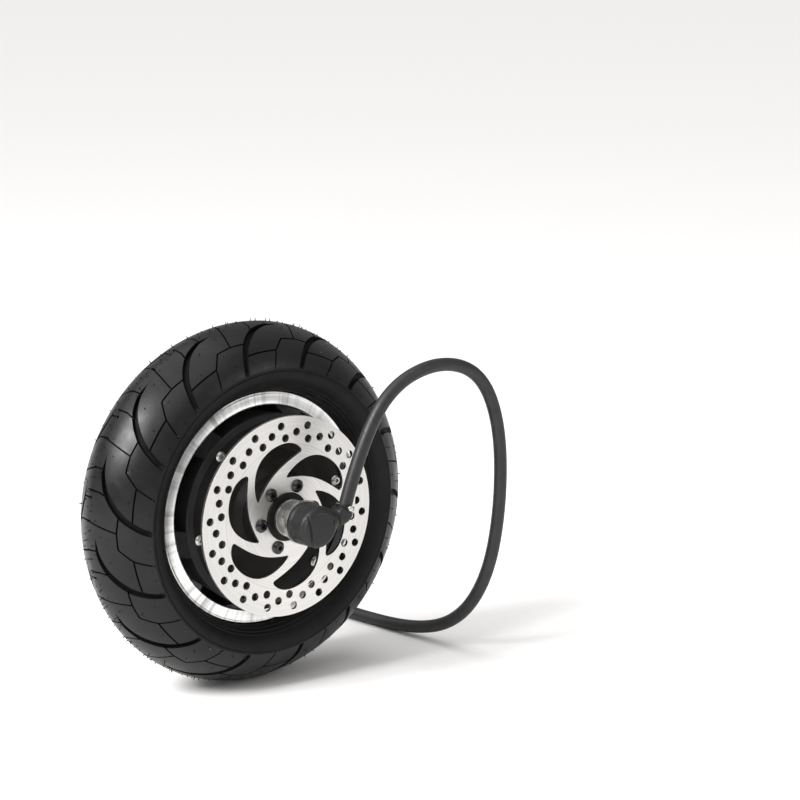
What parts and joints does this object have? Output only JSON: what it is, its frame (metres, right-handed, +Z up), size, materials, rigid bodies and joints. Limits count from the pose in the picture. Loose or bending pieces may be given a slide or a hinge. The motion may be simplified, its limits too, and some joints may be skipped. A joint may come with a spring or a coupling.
{
  "type": "hub motor wheel",
  "caption": "Scooter hub motor wheel with pneumatic tyre, spoked rim ring, perforated brake disc, flatted axle and a motor cable with plug.",
  "frame": {"origin": "centre of the wheel: where the axle's line crosses the middle plane of the tyre", "axes": "+Y along the axle, away from the brake disc; +Z up; +X in the direction of travel"},
  "size_m": [0.298, 0.2838, 0.2544],
  "materials": {
    "tyre": "matt",
    "black_cast": "satin black over a turned rim ring",
    "cover_black": "satin black",
    "stainless": "satin brushed",
    "dark_steel": "black oxide",
    "bright_steel": "zinc plated",
    "bearing_steel": "ground",
    "iron": "plain",
    "magnet": "nickel plated",
    "laminations": "varnished edges",
    "copper": "enamelled wire",
    "aluminium": "cast",
    "insulator": "moulded",
    "board": "printed board",
    "chip": "moulded",
    "gasket": "fibre",
    "rubber": "matt",
    "cage": "moulded",
    "brass": "turned",
    "cable": "satin sleeve",
    "plug": "moulded",
    "cap_plastic": "moulded"
  },
  "bodies": {
    "axle_set": {"axle": "bright_steel", "stator_carrier": "aluminium", "carrier_key": "dark_steel", "carrier_circlips": "dark_steel", "stator_laminations": "laminations", "stator_end_insulators": "insulator", "phase_windings": "copper", "hall_sensor_board": "board", "hall_sensors": "chip", "motor_leads": "rubber", "disc_side_spacer": "bright_steel", "far_side_spacer": "bright_steel", "disc_side_torque_washer": "bright_steel", "far_side_torque_washer": "bright_steel", "disc_side_axle_nut": "bright_steel", "far_side_axle_nut": "bright_steel", "axle_boot": "rubber", "far_side_nut_cap": "rubber", "cable_elbow": "rubber", "cable_clip": "bright_steel", "motor_cable": "cable", "cable_coil": "cable", "coil_tie": "cap_plastic", "cable_tail": "cable", "plug_strain_relief": "rubber", "plug_body": "plug", "plug_pins": "brass", "disc_side_bearing_inner_race": "bearing_steel", "far_side_bearing_inner_race": "bearing_steel"},
    "wheel": {"tyre": "tyre", "rim_shell": "black_cast", "back_iron_ring": "iron", "rotor_magnets": "magnet", "disc_side_cover": "cover_black", "far_side_cover": "cover_black", "disc_side_gasket": "gasket", "far_side_gasket": "gasket", "disc_side_cover_screws": "bright_steel", "far_side_cover_screws": "bright_steel", "brake_disc": "stainless", "brake_disc_bolts": "dark_steel", "disc_side_oil_seal": "rubber", "far_side_oil_seal": "rubber", "valve_stem": "brass", "valve_grommet": "rubber", "valve_cap": "cap_plastic", "disc_side_bearing_outer_race": "bearing_steel", "disc_side_bearing_shields": "rubber", "far_side_bearing_outer_race": "bearing_steel", "far_side_bearing_shields": "rubber"},
    "disc_side_ball_set": {"disc_side_bearing_balls": "bearing_steel", "disc_side_bearing_cage": "cage"},
    "far_side_ball_set": {"far_side_bearing_balls": "bearing_steel", "far_side_bearing_cage": "cage"}
  },
  "joints": [
    {"name": "wheel_spin", "type": "hinge", "parent": "axle_set", "child": "wheel", "pos_m": [0, 0, 0], "axis": [0, 1, 0], "continuous": true},
    {"name": "disc_side_balls_spin", "type": "hinge", "parent": "axle_set", "child": "disc_side_ball_set", "pos_m": [0, -0.034, 0], "axis": [0, 1, 0], "continuous": true},
    {"name": "far_side_balls_spin", "type": "hinge", "parent": "axle_set", "child": "far_side_ball_set", "pos_m": [0, 0.034, 0], "axis": [0, 1, 0], "continuous": true}
  ],
  "couplings": [
    {"joint": "disc_side_balls_spin", "follows": "wheel_spin", "ratio": 0.61825},
    {"joint": "far_side_balls_spin", "follows": "wheel_spin", "ratio": 0.61825}
  ]
}
